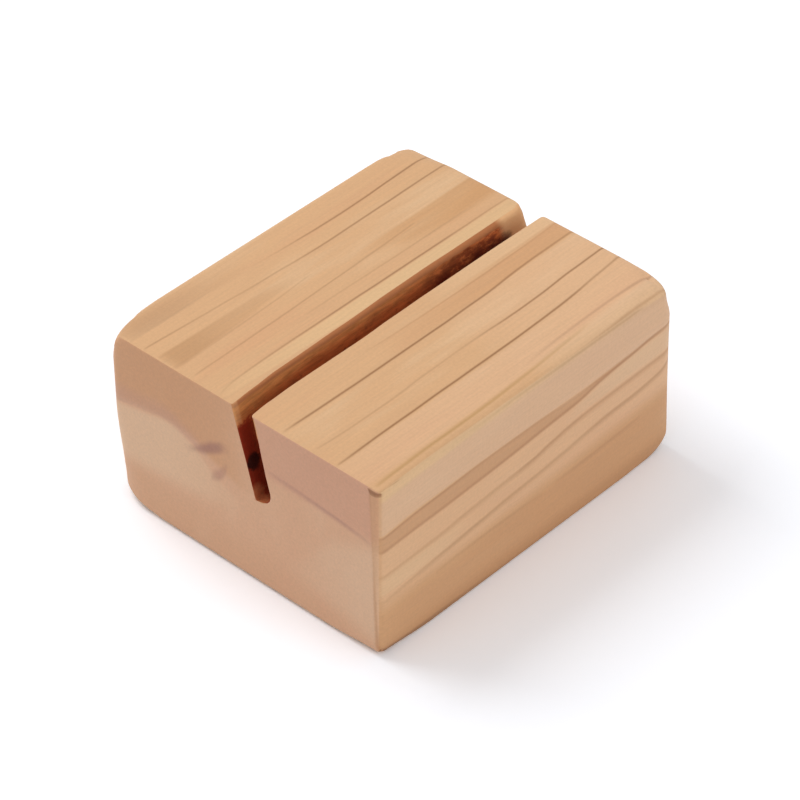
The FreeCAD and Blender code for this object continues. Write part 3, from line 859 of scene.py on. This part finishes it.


# The same wood as the saw left it: torn, rough and scorched reddish brown by the blade, with a few nearly black
# patches. It is darker with depth and paler towards the mouth, partly as painted shade and painted light.
sawnWood = {
    # the deep, wall and mouth tones lie from low in the kerf up to its mouth; the change between them is partly
    # painted shade and painted light
    "deep": "#B15C31",
    "wall": "#C36C3A",
    "torn": "#6E2010",
    "mouth": "#CD884F",
    "lip": "#B5744A",
    "scorchedAndShaded": "#8F2D16",
    "sanded": "#E8B685",
    "tear": (1.25, 3.5714, 1.5625),  # size of a torn place
    "tearHeight": 4.0,  # a torn place shows the tone from up to this much higher
    "streak": (2.0, 6.25, 0.8333),  # size of the streaks in the wall
    "streakHeight": 1.2,
    "streakLight": (0.68, 1.32),
    "roughness": 0.85,
    "toothMark": (1.7, 1.7, 1.7),  # spacing of the marks that the blade's teeth left
    "bumpHeight": 0.25,
    "bumpStrength": 0.8,
    "ior": 1.5,
    "gloss": 0.15,
    # where each tone starts and is full: heights, which the torn places raise, and places along the kerf
    "wallFrom": (36.0, 42.0),
    "tornFrom": (0.52, 0.7),  # how torn a place has to be
    "tornFarFrom": (0.4, 0.56),  # and how torn where the far part is rougher
    "farPart": (6, 18),
    "tornStrength": 0.65,
    # painted light: near the front the paler mouth tone reaches frontLighter further down
    "frontPart": (-20, -44),
    "frontLighter": 2.0,
    "mouthFrom": (44.0, 48.0),
    "mouthPart": (30, 0),
    "lipFrom": (45.4, 45.9),
    # scorched wood, which painted shade darkens further low in the kerf behind the front end
    "scorchedAndShadedPart": (-40, -45),
    "scorchedAndShadedBelow": (43.4, 42.2),
    "sandedIn": (1.9, 1.1),  # the front was sanded with its face, this far in from it
    "sandedFrontFrom": (42.3, 43.6),
    "sandedFrontStrength": 0.3,
    # painted light: the far run-out gets the paler sanded tone strongly, as it lies in shade
    "sandedLitFarPart": (36.5, 39.5),
    "sandedLitFarFrom": (79.6, 82.6),  # height and place along the kerf together: deeper the nearer the end
    "sandedLitFarStrength": 0.9,
    # middle, size and tone of each patch
    "patches": (
        ((2.4, -45.6, 31.6), 1.2, "#1F0805"),
        ((5.2, -46.3, 24.6), 1.8, "#BF6F45"),
        ((0.0, 38.2, 40.8), 2.6, "#4E160D"),
        ((0.2, 34.6, 40.6), 3.2, "#571A10"),
        ((0.2, 29.0, 40.8), 3.4, "#622013"),
        ((0.2, 24.4, 39.8), 2.2, "#43110A"),
        ((0.2, 18.0, 40.2), 3.0, "#6A2516"),
        ((0.8, 3.0, 38.5), 1.6, "#CF8A58"),
    ),
    "patchRagged": -2.6,  # torn places reach this much further out of a patch
    "patchCore": 0.1,  # a patch is full within this share of its size
    "patchStrength": 0.88,
}


def makeSawnWood():
    material, tree = startMaterial("sawnSoftwood")
    place = placeOnBlock(tree)
    _, y, z = add(tree, "ShaderNodeSeparateXYZ", {0: place}).outputs
    wood = sawnWood
    torn = blotches(tree, place, wood["tear"], 5.0, 0.7)
    up = add(tree, "ShaderNodeMath", {0: torn, 1: wood["tearHeight"], 2: z}, operation="MULTIPLY_ADD")
    # painted shade and light: the tones change with height, raised at torn places, and the mouth tone reaches
    # lower at the front
    lighter = within(tree, wood["frontLighter"], (y, *wood["frontPart"]))
    lighter = add(tree, "ShaderNodeMath", {0: lighter, 1: up}, operation="ADD")
    colour = paint(tree, srgb(wood["deep"]), wood["wall"], 1.0, (up, *wood["wallFrom"]))
    tornFar = within(tree, wood["tornStrength"], (y, *wood["farPart"]), (torn, *wood["tornFarFrom"]))
    tornMost = within(tree, wood["tornStrength"], (torn, *wood["tornFrom"]))
    rougher = add(tree, "ShaderNodeMath", {0: tornFar, 1: tornMost}, operation="MAXIMUM")
    colour = paint(tree, colour, wood["torn"], rougher)
    colour = paint(tree, colour, wood["mouth"], 1.0, (lighter, *wood["mouthFrom"]), (y, *wood["mouthPart"]))
    streaks = blotches(tree, place, wood["streak"], 6.0, 0.65)
    colour = shade(tree, colour, streaks, commonSpan, wood["streakLight"])
    upStreaks = add(tree, "ShaderNodeMath", {0: streaks, 1: wood["streakHeight"], 2: z}, operation="MULTIPLY_ADD")
    colour = paint(tree, colour, wood["lip"], 1.0, (upStreaks, *wood["lipFrom"]))

    # both ends were sanded as deep as the paper reached, the far run-out strongly, partly as painted light on a
    # facet in shade; in front, the blade scorched the wood below that, with painted shade
    # painted shade: the scorched tone also darkens the kerf below the sanded front strip
    limits = ((y, *wood["scorchedAndShadedPart"]), (up, *wood["scorchedAndShadedBelow"]))
    colour = paint(tree, colour, wood["scorchedAndShaded"], 1.0, *limits)
    start, full = [sanded - halfLength for sanded in wood["sandedIn"]]
    limits = ((y, start, full), (up, *wood["sandedFrontFrom"]))
    colour = paint(tree, colour, wood["sanded"], wood["sandedFrontStrength"], *limits)
    # painted light on the far run-out, over its sanded tone
    slanted = add(tree, "ShaderNodeMath", {0: y, 1: up}, operation="ADD")
    limits = ((y, *wood["sandedLitFarPart"]), (slanted, *wood["sandedLitFarFrom"]))
    colour = paint(tree, colour, wood["sanded"], wood["sandedLitFarStrength"], *limits)
    for centre, size, tone in wood["patches"]:
        away = add(tree, "ShaderNodeVectorMath", {0: place, 1: centre}, operation="DISTANCE").outputs["Value"]
        away = add(tree, "ShaderNodeMath", {0: torn, 1: wood["patchRagged"], 2: away}, operation="MULTIPLY_ADD")
        colour = paint(tree, colour, tone, wood["patchStrength"], (away, size, size * wood["patchCore"]))
    marks = blotches(tree, place, wood["toothMark"], 5.0, 0.7)
    finishWood(tree, wood, colour, wood["roughness"], marks)
    return material


block.data.materials.append(makeSoftwood())
block.data.materials.append(makeSawnWood())
print("wood finished")

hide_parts("wood_block")
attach(block, "root")

# The white table and its light: an even room, a large window high on the left and a white card low on
# the right, which fills the sides in view. Lengths in metres.
stage = {
    "floorSize": 4.0,
    "floorDrop": 0.00005,
    "ambient": 0.61,
    "paper": "#EBEBEB",
    "paperSeen": (1.15, 1.18, 1.24),  # stronger than real paper, so that it is plain white beside the shadow
    "shadowReach": (0.14, 0.3),
    "windowWatts": 3.2, "windowSize": 0.48, "windowPlace": (-0.5, -0.1, 0.75),
    "cardWatts": 2.6, "cardSize": 0.8, "cardPlace": (1.08, 0.05, 0.3),
}

reach, drop = stage["floorSize"], stage["floorDrop"]
corners = [(x * reach, y * reach, -drop) for x, y in ((-1, -1), (1, -1), (1, 1), (-1, 1))]
floorMesh = bpy.data.meshes.new("table")
floorMesh.from_pydata(corners, [], [(0, 1, 2, 3)])
floor = bpy.data.objects.new("table", floorMesh)
bpy.context.scene.collection.objects.link(floor)


def seenRays(tree):
    # 1 for what the camera sees, straight or in a gloss or through glass, and 0 for what lights the block
    rays = add(tree, "ShaderNodeLightPath").outputs
    seen = rays["Is Camera Ray"]
    for kind in ("Is Glossy Ray", "Is Transmission Ray"):
        seen = add(tree, "ShaderNodeMath", {0: seen, 1: rays[kind]}, operation="MAXIMUM")
    return seen


# White paper: it lights the block as paper does, and the camera sees it as plain white with a soft shadow.
white = (1, 1, 1, 1)
paper, tree = startMaterial("whitePaper")
seen = seenRays(tree)
lit = add(tree, "ShaderNodeBsdfDiffuse", {"Color": srgb(stage["paper"])})
near = add(tree, "ShaderNodeBsdfDiffuse", {"Color": (*stage["paperSeen"], 1)})
# away from the block the paper is simply white, whatever light reaches it
far = add(tree, "ShaderNodeEmission", {"Color": white, "Strength": 1.0})
spot = add(tree, "ShaderNodeTexCoord").outputs["Object"]
away = add(tree, "ShaderNodeVectorMath", {0: spot}, operation="LENGTH").outputs["Value"]
isFar = within(tree, 1.0, (away, *stage["shadowReach"]))
shown = add(tree, "ShaderNodeMixShader", {0: isFar, 1: near, 2: far})
mixed = add(tree, "ShaderNodeMixShader", {0: seen, 1: lit, 2: shown})
add(tree, "ShaderNodeOutputMaterial", {"Surface": mixed})
floorMesh.materials.append(paper)

world = bpy.data.worlds.new("studio")
world.use_nodes = True
tree = world.node_tree
tree.nodes.clear()
seen = seenRays(tree)
room = add(tree, "ShaderNodeBackground", {"Color": white, "Strength": stage["ambient"]})
backdrop = add(tree, "ShaderNodeBackground", {"Color": white, "Strength": 1.0})
mixed = add(tree, "ShaderNodeMixShader", {0: seen, 1: room, 2: backdrop})
add(tree, "ShaderNodeOutputWorld", {"Surface": mixed})
bpy.context.scene.world = world

for name in ("window", "card"):
    lamp = bpy.data.lights.new(name, "AREA")
    lamp.energy = stage[name + "Watts"]
    lamp.size = stage[name + "Size"]
    light = bpy.data.objects.new(name, lamp)
    light.location = stage[name + "Place"]
    light.rotation_euler = (-Vector(stage[name + "Place"])).to_track_quat("-Z", "Y").to_euler()
    bpy.context.scene.collection.objects.link(light)

# The camera stands where the photographer's did, with a long lens.
viewpoint = {
    "place": (0.42985, -0.46528, 0.53781),
    "towards": (-0.523786, 0.569773, -0.633251),
    "lens": 168.2,
    "film": 36.0,
    "nearest": 0.05,
    "farthest": 50.0,
}
cameraData = bpy.data.cameras.new("camera")
cameraData.lens = viewpoint["lens"]
cameraData.sensor_width = viewpoint["film"]
cameraData.clip_start = viewpoint["nearest"]
cameraData.clip_end = viewpoint["farthest"]
camera = bpy.data.objects.new("camera", cameraData)
camera.location = viewpoint["place"]
camera.rotation_euler = Vector(viewpoint["towards"]).to_track_quat("-Z", "Y").to_euler()
bpy.context.scene.collection.objects.link(camera)
bpy.context.scene.camera = camera
bpy.context.scene.view_settings.view_transform = "Standard"
print("stage set")
